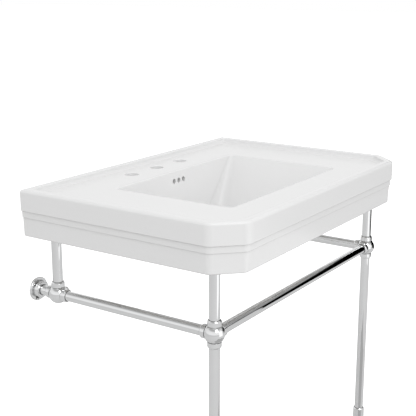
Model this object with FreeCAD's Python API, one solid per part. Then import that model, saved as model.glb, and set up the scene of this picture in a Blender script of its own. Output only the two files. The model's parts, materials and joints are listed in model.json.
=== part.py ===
"""Console wash basin on a tube frame: two front legs, side and front rails, two wall flanges.

Millimetres, +Z up, +Y towards the wall, +X to the right of a person using the basin.
The origin lies on the floor, in the middle of the plan of everything that is modelled.
"""
import FreeCAD, Part
import math
import os
from FreeCAD import Vector

# ---- overall sizes
overall_height = 864.0        # floor to the top of the basin's rim
basin_width = 830.0
basin_depth = 570.0           # wall to the front of the apron

# ---- basin: plan and apron
front_cant = 60.0             # length that each canted front corner takes off side and front
front_corner_radius = 26.0
back_corner_radius = 6.0
apron_height = 110.0          # rim top to the apron's lower edge
upper_band = 49.0             # rim top to the first step
middle_band = 15.5            # first step to the second
middle_inset_top = 3.3        # how far the bands below the steps stand in from the upper band
middle_inset_foot = 3.8
lower_inset_top = 6.0
lower_inset_foot = 7.6
band_edge_radius = 1.5
rim_outer_radius = 7.0
apron_foot_radius = 4.0
apron_wall = 12.0             # thickness of the lowest band
back_wall = 16.0

# ---- basin: rim and deck
rim_width = 21.5
rim_height = 12.7             # deck below the rim top
rim_inner_radius = 2.5
cove_radius = 9.5
pocket_front_radius = 12.0
pocket_back_radius = 10.0
deck_thickness = 14.0
cavity_corner_radius = 8.0

# ---- basin: bowl
bowl_side_ledge = 168.5       # from the basin's side to the bowl's edge
bowl_back_ledge = 140.0       # from the wall
bowl_front_ledge = 113.0      # from the front of the apron
bowl_depth = 135.0            # deck to bowl floor
bowl_wall = 12.0
bowl_side_lean = 81.0         # how far the side walls come in from the top to the floor
bowl_back_lean = 14.0
bowl_front_lean = 24.0
bowl_corner_top = 14.0
bowl_corner_floor = 40.0
bowl_floor_radius = 30.0
bowl_lip_radius = 4.0
dish_margin = 9.5             # flat floor left round the shallow cone that leads to the waste
dish_depth = 5.0
waste_hole = 45.0
waste_recess = 64.0
waste_recess_depth = 3.0
waste_boss_wall = 15.0

# ---- basin: overflow
overflow_hole = 13.0
overflow_spacing = 19.5
overflow_below_deck = 25.0
duct_width = 60.0
duct_mouth = 24.0             # width where the duct opens into the waste hole
duct_gap = 12.0
duct_wall = 8.0

# ---- basin: taps, wall bolts, post sockets
tap_hole = 35.0
tap_spacing = 101.6           # 4 in between neighbours, 8 in across the three
tap_from_wall = 72.5
tap_edge_radius = 1.5
bolt_spacing = 280.0
bolt_below_rim = 70.0
bolt_hole = 22.0
socket_wall = 15.0
socket_clearance = 1.0
socket_below_rim = 42.0       # roof of each post socket

# ---- wall fixings
bolt_diameter = 8.0           # machine thread, in the basin
anchor_diameter = 10.0        # screw thread, in the wall
anchor_setback = 1.0          # wall face to the start of the threads in the wall
bolt_reach = 60.0             # length that goes into the wall
bolt_tail = 7.0               # thread left beyond the nut
fixing_clearance = 0.1        # bush in its hole, and bolt in bush and washer
thread_clearance = 0.05
bush_flange = 30.0
bush_flange_thickness = 3.0
washer_diameter = 28.0
washer_thickness = 2.0
nut_across_flats = 13.0
nut_height = 6.5

# ---- tube frame
tube_od = 23.5
tube_wall = 1.5
leg_from_side = 45.0          # basin side to leg axis
leg_from_front = 73.0
post_from_wall = 65.0
rail_below_rim = 246.5
collar_wall = 3.4
collar_clearance = 0.1
collar_spacing = 2.25         # keeps neighbouring collars of one ball apart
collar_length = 13.0
collar_chamfer_length = 3.0
collar_chamfer_height = 2.2
mouth_gap = 0.7               # gap round the tube where it enters a collar or sleeve
mouth_depth = 1.5
seat_land = 2.35              # flat of the ball that shows round a tube's end

# ---- what is inside the tube joints
stud_diameter = 10.0
stud_inset = 7.0              # ball centre to the stud's inner end
stud_length = 27.0
tapping_allowance = 1.0       # threaded hole beyond the end of its stud
plug_length = 20.0
insert_clearance = 0.05
blank_diameter = 22.0
blank_thickness = 9.5
blank_edge_radius = 3.0

# ---- post tops
cap_flange = 4.0
cap_spigot = 15.0
pad_thickness = 4.0

# ---- wall flanges
flange_land = 8.5             # plate that stands out round the hub, for the screws
flange_plate = 4.0
flange_edge_radius = 1.2
flange_hub_wall = 7.65
flange_hub_length = 13.0      # in front of the plate
flange_hub_radius = 2.5
flange_floor = 3.0            # closed thickness behind the stub
flange_screw_angle = 12.0     # first of the evenly spaced screws
flange_screw_count = 3
screw_diameter = 5.0
screw_neck_diameter = 4.4
screw_clearance = 0.25
screw_head_diameter = 7.2
screw_head_height = 2.4
screw_head_radius = 1.0
screw_reach = 38.0
set_screw_diameter = 5.0

# ---- feet
foot_pad_diameter = 42.0
foot_pad_thickness = 4.0
foot_running_gap = 0.3        # between pieces of the foot that turn or slide on each other
pad_pin_diameter = 8.0
pad_pin_height = 5.0
foot_base_diameter = 46.0
foot_base_plate = 4.0
foot_base_edge_radius = 1.2
foot_base_boss = 14.0
sleeve_top = 143.0            # above the floor
sleeve_wall = 3.2
leg_nut_length = 25.0
level_stud_diameter = 12.0
level_stud_top = 85.0
level_stud_seat = 12.0        # above the floor

# ---- places worked out from the sizes above
wall_y = (basin_depth - bolt_reach) / 2
front_y = wall_y - basin_depth
rim_z = overall_height
deck_z = rim_z - rim_height
deck_under_z = deck_z - deck_thickness
first_step_z = rim_z - upper_band
second_step_z = first_step_z - middle_band
apron_z = rim_z - apron_height
bowl_floor_z = deck_z - bowl_depth
bowl_under_z = bowl_floor_z - bowl_wall
boss_z = bowl_under_z - duct_gap - duct_wall
rail_z = rim_z - rail_below_rim
leg_x = basin_width / 2 - leg_from_side
leg_y = front_y + leg_from_front
post_y = wall_y - post_from_wall
bowl_x = basin_width / 2 - bowl_side_ledge
bowl_back_y = wall_y - bowl_back_ledge
bowl_front_y = front_y + bowl_front_ledge
floor_back_y = bowl_back_y - bowl_back_lean
floor_front_y = bowl_front_y + bowl_front_lean
waste_y = (floor_back_y + floor_front_y) / 2
floor_half = min(bowl_x - bowl_side_lean, (floor_back_y - floor_front_y) / 2)
dish_r = floor_half - bowl_floor_radius - dish_margin
bolt_z = rim_z - bolt_below_rim
tube_r = tube_od / 2
tube_bore_r = tube_r - tube_wall
insert_r = tube_bore_r - insert_clearance
collar_bore_r = tube_r + collar_clearance
collar_r = collar_bore_r + collar_wall
seat = collar_r + collar_spacing            # ball centre to the flats that the tubes meet
ball_r = math.hypot(seat, tube_r + seat_land)
stud_r = stud_diameter / 2
stud_bore_r = stud_r + thread_clearance
socket_r = tube_r + socket_clearance
socket_roof_z = rim_z - socket_below_rim
post_top_z = socket_roof_z - pad_thickness - cap_flange
hub_r = collar_bore_r + flange_hub_wall
flange_r = hub_r + flange_land
screw_circle_r = (hub_r + flange_r) / 2
foot_base_z = foot_pad_thickness + foot_running_gap
sleeve_foot_z = foot_base_z + foot_base_plate
leg_end_z = sleeve_foot_z + foot_base_boss + foot_running_gap
sleeve_bore_r = tube_r + foot_running_gap
sleeve_r = sleeve_bore_r + sleeve_wall
level_stud_r = level_stud_diameter / 2

ORIGIN = Vector(0, 0, 0)
UP = Vector(0, 0, 1)
DOWN = Vector(0, 0, -1)
RIGHT = Vector(1, 0, 0)
LEFT = Vector(-1, 0, 0)
TO_WALL = Vector(0, 1, 0)
FROM_WALL = Vector(0, -1, 0)
SIDES = {"left": -1, "right": 1}


# ---- helpers
def rounded_wire(corners, to_3d):
    """Closed wire through (u, v, radius) corners, each rounded by its radius."""
    points = [Vector(u, v, 0) for u, v, _ in corners]
    starts, middles, ends = [], [], []
    for i, here in enumerate(points):
        radius = corners[i][2]
        before = (points[i - 1] - here).normalize()
        after = (points[(i + 1) % len(points)] - here).normalize()
        half_angle = before.getAngle(after) / 2
        bisector = (before + after).normalize() if radius > 0 else before
        tangent = radius / math.tan(half_angle)
        starts.append(here + before * tangent)
        middles.append(here + bisector * (radius / math.sin(half_angle) - radius))
        ends.append(here + after * tangent)
    edges = []
    for i in range(len(points)):
        if corners[i][2] > 0:
            edges.append(Part.Arc(to_3d(starts[i]), to_3d(middles[i]), to_3d(ends[i])).toShape())
        run_start = to_3d(ends[i])
        run_end = to_3d(starts[(i + 1) % len(points)])
        edges.append(Part.LineSegment(run_start, run_end).toShape())
    return Part.Wire(edges)


def plan_wire(corners, z):
    return rounded_wire(corners, lambda p: Vector(p.x, p.y, z))


def prism(corners, z_low, z_high):
    """Upright solid with the given rounded outline."""
    return Part.Face(plan_wire(corners, z_low)).extrude(UP * (z_high - z_low))


def taper(corners_low, z_low, corners_high, z_high):
    """Solid between two rounded outlines that have the same corners."""
    wires = [plan_wire(corners_low, z_low), plan_wire(corners_high, z_high)]
    return Part.makeLoft(wires, True, True)


def turned(corners, centre, direction):
    """Solid of revolution from (radius, height, corner radius) corners."""
    wire = rounded_wire(corners, lambda p: Vector(p.x, 0, p.y))
    solid = Part.Face(wire).revolve(ORIGIN, UP, 360)
    solid.Placement = FreeCAD.Placement(centre, FreeCAD.Rotation(UP, direction))
    return solid


def rod(radius, start, end):
    run = end - start
    return Part.makeCylinder(radius, run.Length, start, run)


def tube(start, end):
    return rod(tube_r, start, end).cut(rod(tube_bore_r, start, end))


def ring(outer_r, inner_r, start, end):
    return rod(outer_r, start, end).cut(rod(inner_r, start, end))


def edges_at(shape, z):
    """Edges that lie in the horizontal plane at z."""
    tolerance = 1e-4
    return [edge for edge in shape.Edges
            if abs(edge.BoundBox.ZMin - z) < tolerance and abs(edge.BoundBox.ZMax - z) < tolerance]


def within(edges, half_x, y_low, y_high):
    """Those edges that stay inside a rectangle of the plan."""
    kept = []
    for edge in edges:
        box = edge.BoundBox
        if max(-box.XMin, box.XMax) < half_x and box.YMin > y_low and box.YMax < y_high:
            kept.append(edge)
    return kept


def save(name, pieces):
    """Write one node: a single solid, or a group of separate ones."""
    solids = pieces if isinstance(pieces, list) else [pieces]
    for solid in solids:
        if not solid.isValid() or len(solid.Solids) != 1:
            raise ValueError(name + " is not one valid solid")
    shape = solids[0].Solids[0] if len(solids) == 1 else Part.makeCompound(solids)
    shape.exportStep("parts/" + name + ".step")
    print(f"{name:24s} {len(solids):3d} solid(s) {shape.Volume / 1000:9.2f} cm3")


# ---- basin
def basin_corners(inset, back_inset, front_radius, back_radius):
    """Plan of the basin, drawn in by one inset at the sides and front and one at the back."""
    cant_shift = inset * math.tan(math.pi / 8)
    half = basin_width / 2 - inset
    right = [
        (half, wall_y - back_inset, back_radius),
        (half, front_y + front_cant + cant_shift, front_radius),
        (basin_width / 2 - front_cant - cant_shift, front_y + inset, front_radius),
    ]
    left = [(-x, y, radius) for x, y, radius in reversed(right)]
    return right + left


def band_corners(inset):
    return basin_corners(inset, 0, front_corner_radius - inset, back_corner_radius)


def apron_block():
    """The basin's solid outline: three stepped bands under a rounded top edge."""
    upper = prism(band_corners(0), first_step_z, rim_z)
    upper = upper.makeFillet(rim_outer_radius, edges_at(upper, rim_z))
    upper = upper.makeFillet(band_edge_radius, edges_at(upper, first_step_z))
    middle = taper(band_corners(middle_inset_foot), second_step_z,
                   band_corners(middle_inset_top), first_step_z)
    lower = taper(band_corners(lower_inset_foot), apron_z,
                  band_corners(lower_inset_top), second_step_z)
    lower = lower.makeFillet(apron_foot_radius, edges_at(lower, apron_z))
    flush_half = basin_width / 2 - lower_inset_foot - back_corner_radius
    flush_back = Part.makeBox(
        2 * flush_half, back_wall, rim_z - rim_outer_radius - apron_z - apron_foot_radius,
        Vector(-flush_half, wall_y - back_wall, apron_z + apron_foot_radius))
    return upper.fuse([middle, lower, flush_back])


def deck_pocket():
    """Space above the deck, inside the raised rim."""
    corners = basin_corners(rim_width, rim_width, pocket_front_radius, pocket_back_radius)
    pocket = prism(corners, deck_z, rim_z + rim_outer_radius)
    return pocket.makeFillet(cove_radius, edges_at(pocket, deck_z))


def bowl_corners(z, wall):
    """Outline of the bowl at a height, moved out by a wall thickness."""
    part_way = (deck_z - z) / bowl_depth
    x = bowl_x - bowl_side_lean * part_way + wall
    back = bowl_back_y - bowl_back_lean * part_way + wall
    front = bowl_front_y + bowl_front_lean * part_way - wall
    radius = bowl_corner_top + (bowl_corner_floor - bowl_corner_top) * part_way + wall
    return [(x, back, radius), (x, front, radius), (-x, front, radius), (-x, back, radius)]


def bowl_space():
    """Inside of the bowl, with its dished floor and the waste hole."""
    above_z = deck_z + bowl_lip_radius
    space = taper(bowl_corners(bowl_floor_z, 0), bowl_floor_z, bowl_corners(above_z, 0), above_z)
    space = space.makeFillet(bowl_floor_radius, edges_at(space, bowl_floor_z))
    waste = Vector(0, waste_y, 0)
    dish_z = bowl_floor_z - dish_depth
    recess_z = dish_z - waste_recess_depth
    dish = Part.makeCone(waste_recess / 2, dish_r, dish_depth, waste + UP * dish_z)
    recess = rod(waste_recess / 2, waste + UP * recess_z, waste + UP * bowl_floor_z)
    outlet = rod(waste_hole / 2, waste + UP * (boss_z - 1), waste + UP * bowl_floor_z)
    return space.fuse([dish, recess, outlet])


def bowl_block():
    """Outside of the bowl under the deck, the waste boss and the overflow duct's walls."""
    block = taper(bowl_corners(bowl_floor_z, bowl_wall), bowl_under_z,
                  bowl_corners(deck_z, bowl_wall), (deck_z + deck_under_z) / 2)
    boss_r = waste_hole / 2 + waste_boss_wall
    waste = Vector(0, waste_y, 0)
    boss = rod(boss_r, waste + UP * boss_z, waste + UP * bowl_floor_z)
    box_width = duct_width + 2 * duct_wall
    box_back_y = bowl_back_y + 2 * duct_wall + duct_gap
    upright = Part.makeBox(box_width, 2 * duct_wall + duct_gap + bowl_back_lean,
                           deck_z - deck_thickness / 2 - boss_z,
                           Vector(-box_width / 2, bowl_back_y - bowl_back_lean, boss_z))
    level = Part.makeBox(box_width, box_back_y - waste_y, duct_gap + duct_wall + bowl_wall / 2,
                         Vector(-box_width / 2, waste_y, boss_z))
    return block.fuse([boss, upright, level])


def overflow_space():
    """Three holes in the bowl's back wall, and the duct that leads from them to the waste."""
    overflow_z = deck_z - overflow_below_deck
    channel_y = bowl_back_y + duct_wall
    channel_z = boss_z + duct_wall
    channel_back_y = channel_y + duct_gap
    upright = Part.makeBox(duct_width, duct_gap, overflow_z + overflow_hole / 2 - channel_z,
                           Vector(-duct_width / 2, channel_y, channel_z))
    level = Part.makeBox(duct_mouth, channel_back_y - waste_y, duct_gap,
                         Vector(-duct_mouth / 2, waste_y, channel_z))
    holes = []
    for place in (-1, 0, 1):
        start = Vector(place * overflow_spacing, channel_y + duct_gap / 2, overflow_z)
        holes.append(rod(overflow_hole / 2, start, start + FROM_WALL * (2 * duct_gap + duct_wall)))
    return upright.fuse([level] + holes)


def make_basin():
    cavity = prism(
        basin_corners(lower_inset_foot + apron_wall, back_wall,
                      cavity_corner_radius, cavity_corner_radius),
        apron_z - 1, deck_under_z)
    cavity = cavity.makeFillet(cavity_corner_radius / 2, edges_at(cavity, deck_under_z))
    body = apron_block().cut([deck_pocket(), cavity])

    rim_inner = within(edges_at(body, rim_z), basin_width / 2 - rim_width + 1,
                       front_y + rim_width - 1, wall_y - rim_width + 1)
    body = body.makeFillet(rim_inner_radius, rim_inner)

    socket_bosses = []
    sockets = []
    for side in SIDES.values():
        for y in (leg_y, post_y):
            foot = Vector(side * leg_x, y, apron_z + apron_foot_radius)
            top = Vector(side * leg_x, y, deck_z - deck_thickness / 2)
            roof = Vector(side * leg_x, y, socket_roof_z)
            socket_bosses.append(rod(socket_r + socket_wall, foot, top))
            sockets.append(rod(socket_r, foot - UP * apron_foot_radius, roof))

    body = body.fuse([bowl_block()] + socket_bosses)
    body = body.cut([bowl_space(), overflow_space()] + sockets)
    lip = within(edges_at(body, deck_z), bowl_x + 1, bowl_front_y - 1, bowl_back_y + 1)
    body = body.makeFillet(bowl_lip_radius, lip)

    tap_y = wall_y - tap_from_wall
    taps = [rod(tap_hole / 2, Vector(place * tap_spacing, tap_y, deck_under_z - 1),
                Vector(place * tap_spacing, tap_y, deck_z + 1)) for place in (-1, 0, 1)]
    bolts = [rod(bolt_hole / 2, Vector(side * bolt_spacing / 2, wall_y - back_wall - 1, bolt_z),
                 Vector(side * bolt_spacing / 2, wall_y + 1, bolt_z)) for side in SIDES.values()]
    body = body.cut(taps + bolts)
    reach = tap_spacing + tap_hole
    tap_edges = within(edges_at(body, deck_z), reach, tap_y - tap_hole, tap_y + tap_hole)
    body = body.makeFillet(tap_edge_radius, tap_edges)
    return body.removeSplitter()


# ---- balls, tubes and what joins them
def ball_centre(side, y):
    return Vector(side * leg_x, y, rail_z)


def ball_ports(side, row):
    """Directions of a ball's tubes; rear balls keep a spare port that points inwards."""
    inwards = LEFT if side > 0 else RIGHT
    if row == "front":
        return {"top": UP, "bottom": DOWN, "side": TO_WALL, "front": inwards}
    return {"top": UP, "side": FROM_WALL, "wall": TO_WALL, "spare": inwards}


def make_ball(centre, ports):
    ball = Part.makeSphere(ball_r, centre)
    for way in ports.values():
        flat = rod(ball_r, centre + way * seat, centre + way * 2 * seat)
        bottom = centre + way * (stud_inset - tapping_allowance)
        ball = ball.cut([flat, rod(stud_bore_r, bottom, centre + way * ball_r)])
    return ball


def make_collar(centre, way):
    nose_r = collar_r - collar_chamfer_height
    mouth_r = collar_bore_r + mouth_gap
    profile = [
        (collar_bore_r, 0, 0),
        (collar_r, 0, 0),
        (collar_r, collar_length - collar_chamfer_length, 0),
        (nose_r, collar_length, 0),
        (mouth_r, collar_length, 0),
        (mouth_r, collar_length - mouth_depth, 0),
        (collar_bore_r, collar_length - mouth_depth, 0),
    ]
    return turned(profile, centre + way * seat, way)


def make_tube_plug(centre, way):
    return ring(insert_r, stud_bore_r, centre + way * seat, centre + way * (seat + plug_length))


def make_joint_stud(centre, way):
    return rod(stud_r, centre + way * stud_inset, centre + way * (stud_inset + stud_length))


def make_blanking_plug(centre, way):
    profile = [
        (0, stud_inset, 0),
        (stud_r, stud_inset, 0),
        (stud_r, seat, 0),
        (blank_diameter / 2, seat, 0),
        (blank_diameter / 2, seat + blank_thickness, blank_edge_radius),
        (0, seat + blank_thickness, 0),
    ]
    return turned(profile, centre, way)


def make_post_cap(x, y):
    spigot_z = post_top_z - cap_spigot
    flange = rod(tube_r, Vector(x, y, post_top_z), Vector(x, y, post_top_z + cap_flange))
    return flange.fuse(rod(insert_r, Vector(x, y, spigot_z), Vector(x, y, post_top_z)))


def make_post_pad(x, y):
    low = Vector(x, y, socket_roof_z - pad_thickness)
    return rod(tube_r, low, low + UP * pad_thickness)


# ---- wall flanges
def screw_places(side):
    """Where the screws of a flange pass its plate, mirrored from one flange to the other."""
    places = []
    for i in range(flange_screw_count):
        angle = math.radians(flange_screw_angle + 360 * i / flange_screw_count)
        x = side * leg_x - side * screw_circle_r * math.cos(angle)
        places.append(Vector(x, wall_y, rail_z + screw_circle_r * math.sin(angle)))
    return places


def set_screw_line(side):
    """Start at the stub and end near the outside of the hub, on its underside."""
    y = wall_y - flange_plate - flange_hub_length / 2
    axis = Vector(side * leg_x, y, rail_z)
    return axis + DOWN * tube_r, axis + DOWN * (hub_r - thread_clearance)


def make_wall_flange(side):
    length = flange_plate + flange_hub_length
    profile = [
        (0, 0, 0),
        (flange_r, 0, 0),
        (flange_r, flange_plate, flange_edge_radius),
        (hub_r, flange_plate, 0),
        (hub_r, length, flange_hub_radius),
        (collar_bore_r, length, 0),
        (collar_bore_r, flange_floor, 0),
        (0, flange_floor, 0),
    ]
    flange = turned(profile, Vector(side * leg_x, wall_y, rail_z), FROM_WALL)
    holes = [rod(screw_diameter / 2 + screw_clearance, place + TO_WALL, place + FROM_WALL * length)
             for place in screw_places(side)]
    start, end = set_screw_line(side)
    holes.append(rod(set_screw_diameter / 2 + thread_clearance, start, end + DOWN))
    return flange.cut(holes)


def make_flange_screw(place):
    profile = [
        (0, -flange_plate - screw_reach, 0),
        (screw_diameter / 2, -flange_plate - screw_reach, 0),
        (screw_diameter / 2, -flange_plate - anchor_setback, 0),
        (screw_neck_diameter / 2, -flange_plate - anchor_setback, 0),
        (screw_neck_diameter / 2, 0, 0),
        (screw_head_diameter / 2, 0, 0),
        (screw_head_diameter / 2, screw_head_height, screw_head_radius),
        (0, screw_head_height, 0),
    ]
    return turned(profile, place + FROM_WALL * flange_plate, FROM_WALL)


# ---- basin's wall bolts
def bolt_stack(side):
    """Bolt, bush, washer and nut that hold the basin's back to the wall."""
    wall = Vector(side * bolt_spacing / 2, wall_y, bolt_z)
    inside = wall + FROM_WALL * back_wall
    bush_end = inside + FROM_WALL * bush_flange_thickness
    washer_end = bush_end + FROM_WALL * washer_thickness
    nut_end = washer_end + FROM_WALL * nut_height
    bolt_r = bolt_diameter / 2
    loose_r = bolt_r + fixing_clearance
    bush = rod(bolt_hole / 2 - fixing_clearance, wall, inside)
    bush = bush.fuse(rod(bush_flange / 2, inside, bush_end)).cut(rod(loose_r, wall, bush_end))
    hexagon_r = nut_across_flats / math.sqrt(3)
    angles = [math.radians(60 * i) for i in range(6)]
    hexagon = [(hexagon_r * math.cos(angle), hexagon_r * math.sin(angle), 0) for angle in angles]
    face = Part.Face(rounded_wire(hexagon, lambda p: washer_end + Vector(p.x, 0, p.y)))
    nut = face.extrude(nut_end - washer_end).cut(rod(bolt_r + thread_clearance, wall, nut_end))
    thread_start = wall + TO_WALL * anchor_setback
    anchor = rod(anchor_diameter / 2, wall + TO_WALL * bolt_reach, thread_start)
    return {
        "wall_bolts": anchor.fuse(rod(bolt_r, thread_start, nut_end + FROM_WALL * bolt_tail)),
        "wall_bolt_bushes": bush,
        "wall_bolt_washers": ring(washer_diameter / 2, loose_r, bush_end, washer_end),
        "wall_bolt_nuts": nut,
    }


# ---- feet
def make_foot(side):
    """Sleeve, base, stud and pad of one foot, and the threaded nut in the end of its leg."""
    axis = Vector(side * leg_x, leg_y, 0)
    pin_r = pad_pin_diameter / 2
    pin_top_z = foot_pad_thickness + pad_pin_height
    pad = turned([
        (0, 0, 0),
        (foot_pad_diameter / 2, 0, 0),
        (foot_pad_diameter / 2, foot_pad_thickness, 0),
        (pin_r, foot_pad_thickness, 0),
        (pin_r, pin_top_z, 0),
        (0, pin_top_z, 0),
    ], axis, UP)
    pin_hole_r = pin_r + thread_clearance
    pin_hole_z = pin_top_z + foot_running_gap
    stud_hole_r = level_stud_r + thread_clearance
    boss_top_z = sleeve_foot_z + foot_base_boss
    base = turned([
        (pin_hole_r, foot_base_z, 0),
        (foot_base_diameter / 2, foot_base_z, 0),
        (foot_base_diameter / 2, sleeve_foot_z, foot_base_edge_radius),
        (sleeve_bore_r - insert_clearance, sleeve_foot_z, 0),
        (sleeve_bore_r - insert_clearance, boss_top_z, 0),
        (stud_hole_r, boss_top_z, 0),
        (stud_hole_r, level_stud_seat, 0),
        (0, level_stud_seat, 0),
        (0, pin_hole_z, 0),
        (pin_hole_r, pin_hole_z, 0),
    ], axis, UP)
    sleeve = turned([
        (sleeve_bore_r, sleeve_foot_z, 0),
        (sleeve_r, sleeve_foot_z, 0),
        (sleeve_r, sleeve_top - collar_chamfer_length, 0),
        (sleeve_r - collar_chamfer_height, sleeve_top, 0),
        (sleeve_bore_r + mouth_gap, sleeve_top, 0),
        (sleeve_bore_r + mouth_gap, sleeve_top - mouth_depth, 0),
        (sleeve_bore_r, sleeve_top - mouth_depth, 0),
    ], axis, UP)
    stud = rod(level_stud_r, axis + UP * level_stud_seat, axis + UP * level_stud_top)
    nut_start = axis + UP * leg_end_z
    nut = ring(insert_r, stud_hole_r, nut_start, nut_start + UP * leg_nut_length)
    return {
        "foot_pad": pad,
        "foot_base": base,
        "foot_sleeve": sleeve,
        "levelling_stud": stud,
        "leg_nut": nut,
    }


# ---- write every node
os.makedirs("parts", exist_ok=True)
save("basin", make_basin())

groups = {"flange_set_screws": [], "post_caps": [], "post_pads": []}
for row, row_y in (("front", leg_y), ("rear", post_y)):
    joint_studs = []
    tube_plugs = []
    for side_name, side in SIDES.items():
        centre = ball_centre(side, row_y)
        ports = ball_ports(side, row)
        save(f"ball_{row}_{side_name}", make_ball(centre, ports))
        if "spare" in ports:
            save(f"blanking_plug_{side_name}", make_blanking_plug(centre, ports.pop("spare")))
        for port, way in ports.items():
            save(f"collar_{row}_{side_name}_{port}", make_collar(centre, way))
            tube_plugs.append(make_tube_plug(centre, way))
            joint_studs.append(make_joint_stud(centre, way))
        post_top = Vector(centre.x, centre.y, post_top_z)
        save(f"post_{row}_{side_name}", tube(centre + UP * seat, post_top))
        groups["post_caps"].append(make_post_cap(centre.x, centre.y))
        groups["post_pads"].append(make_post_pad(centre.x, centre.y))
    save(f"joint_studs_{row}", joint_studs)
    save(f"tube_plugs_{row}", tube_plugs)

front_right = ball_centre(1, leg_y)
front_left = ball_centre(-1, leg_y)
save("front_rail", tube(front_left + RIGHT * seat, front_right + LEFT * seat))

for side_name, side in SIDES.items():
    front_ball = ball_centre(side, leg_y)
    rear_ball = ball_centre(side, post_y)
    save(f"side_rail_{side_name}", tube(front_ball + TO_WALL * seat, rear_ball + FROM_WALL * seat))
    save(f"leg_{side_name}", tube(front_ball + DOWN * seat, Vector(front_ball.x, leg_y, leg_end_z)))
    stub_end = Vector(rear_ball.x, wall_y - flange_floor, rail_z)
    save(f"wall_stub_{side_name}", tube(rear_ball + TO_WALL * seat, stub_end))
    save(f"wall_flange_{side_name}", make_wall_flange(side))
    save(f"flange_screws_{side_name}", [make_flange_screw(place) for place in screw_places(side)])
    set_screw_start, set_screw_end = set_screw_line(side)
    groups["flange_set_screws"].append(rod(set_screw_diameter / 2, set_screw_start, set_screw_end))
    for piece_name, piece in bolt_stack(side).items():
        groups.setdefault(piece_name, []).append(piece)
    for piece_name, piece in make_foot(side).items():
        save(f"{piece_name}_{side_name}", piece)

for group_name, group in groups.items():
    save(group_name, group)
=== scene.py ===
"""Console wash basin on a tube frame: its shapes and finishes, and the studio that shows it.

Metres, +Z up, +Y towards the wall, +X to the right of a person using the basin.
"""
import json
import math

import bmesh
import bpy
from bpy.props import FloatProperty, FloatVectorProperty, IntProperty, PointerProperty
from mathutils import Matrix, Vector


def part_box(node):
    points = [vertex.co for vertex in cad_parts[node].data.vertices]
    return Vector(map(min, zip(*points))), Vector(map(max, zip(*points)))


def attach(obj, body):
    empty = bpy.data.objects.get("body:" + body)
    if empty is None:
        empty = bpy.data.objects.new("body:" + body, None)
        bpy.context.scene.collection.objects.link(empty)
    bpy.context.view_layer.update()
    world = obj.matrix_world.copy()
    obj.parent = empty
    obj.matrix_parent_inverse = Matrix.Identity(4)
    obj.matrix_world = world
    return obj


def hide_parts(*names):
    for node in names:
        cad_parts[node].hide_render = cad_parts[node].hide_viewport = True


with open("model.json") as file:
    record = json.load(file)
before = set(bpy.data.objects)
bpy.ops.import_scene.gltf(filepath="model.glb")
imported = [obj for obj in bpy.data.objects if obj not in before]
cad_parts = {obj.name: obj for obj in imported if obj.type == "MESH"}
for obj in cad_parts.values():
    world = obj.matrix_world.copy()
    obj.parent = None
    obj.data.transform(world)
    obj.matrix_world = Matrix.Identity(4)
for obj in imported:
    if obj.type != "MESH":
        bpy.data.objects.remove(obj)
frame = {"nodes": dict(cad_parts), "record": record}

bl_info = {
    "name": "Console Basin",
    "version": (1, 0, 0),
    "blender": (4, 5, 0),
    "location": "3D View > Sidebar > Console Basin",
    "description": "Builds a ceramic console basin on polished tubes, and a studio to show it in",
    "category": "Object",
}

UP = Vector((0, 0, 1))
DOWN = Vector((0, 0, -1))
RIGHT = Vector((1, 0, 0))
LEFT = Vector((-1, 0, 0))
TO_WALL = Vector((0, 1, 0))
FROM_WALL = Vector((0, -1, 0))
SIDES = ("left", "right")
ROWS = ("front", "rear")
BALLS = [(row, side) for row in ROWS for side in SIDES]
TINY = 1e-7

# What the frame says of the basin and the tubes, in metres.
basin_low, basin_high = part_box("basin")
post_low, post_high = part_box("post_front_left")
rail_low, rail_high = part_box("side_rail_left")
TUBE_RADIUS = (post_high.x - post_low.x) / 2
RAIL_HEIGHT = (rail_high.z + rail_low.z) / 2
BALL_SEAT = post_low.z - RAIL_HEIGHT

# What the record says of each node: its body, and the slot of its finish.
BODY_OF_NODE = {node: body for body, nodes in frame["record"]["behaviour"]["bodies"].items()
                for node in nodes}
SLOT_OF_NODE = {part["node"]: part["material_slot"] for part in frame["record"]["subparts"]}


# ---- settings
def length(name, description, default):
    return FloatProperty(name=name, description=description, default=default, min=0,
                         unit="LENGTH", precision=4)


def share(name, description, default):
    return FloatProperty(name=name, description=description, default=default, min=0, max=1,
                         subtype="FACTOR")


def colour(name, description, default):
    return FloatVectorProperty(name=name, description=description, default=default, min=0, max=1,
                               size=3, subtype="COLOR")


def angle(name, description, default):
    return FloatProperty(name=name, description=description, default=math.radians(default),
                         subtype="ANGLE")


def position(name, description, default):
    return FloatVectorProperty(name=name, description=description, default=default,
                               subtype="TRANSLATION", unit="LENGTH")


class FinishSettings(bpy.types.PropertyGroup):
    """Colours and gloss of the finishes."""
    glaze: colour("Glaze", "Colour of the white glaze", (0.82, 0.82, 0.82))
    glaze_roughness: share("Glaze roughness", "0 is a wet mirror gloss", 0.16)
    # painted shade: the bare clay of the underside is made darker than clay is, for the shade under
    # the basin
    bisque_and_shade: colour("Bisque", "Colour of the clay on the unglazed underside", (0.52, 0.51, 0.49))
    chrome: colour("Chrome", "Tint of the polished plating", (0.93, 0.935, 0.94))
    chrome_roughness: share("Chrome roughness", "Softness of what the plating mirrors", 0.022)
    zinc: colour("Zinc", "Colour of the plated fixings", (0.56, 0.57, 0.58))
    brass: colour("Brass", "Colour of the turned inserts", (0.72, 0.52, 0.24))
    rubber: colour("Rubber", "Colour of the pads", (0.035, 0.035, 0.037))
    nylon: colour("Nylon", "Colour of the bushes and caps", (0.80, 0.80, 0.77))


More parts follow.
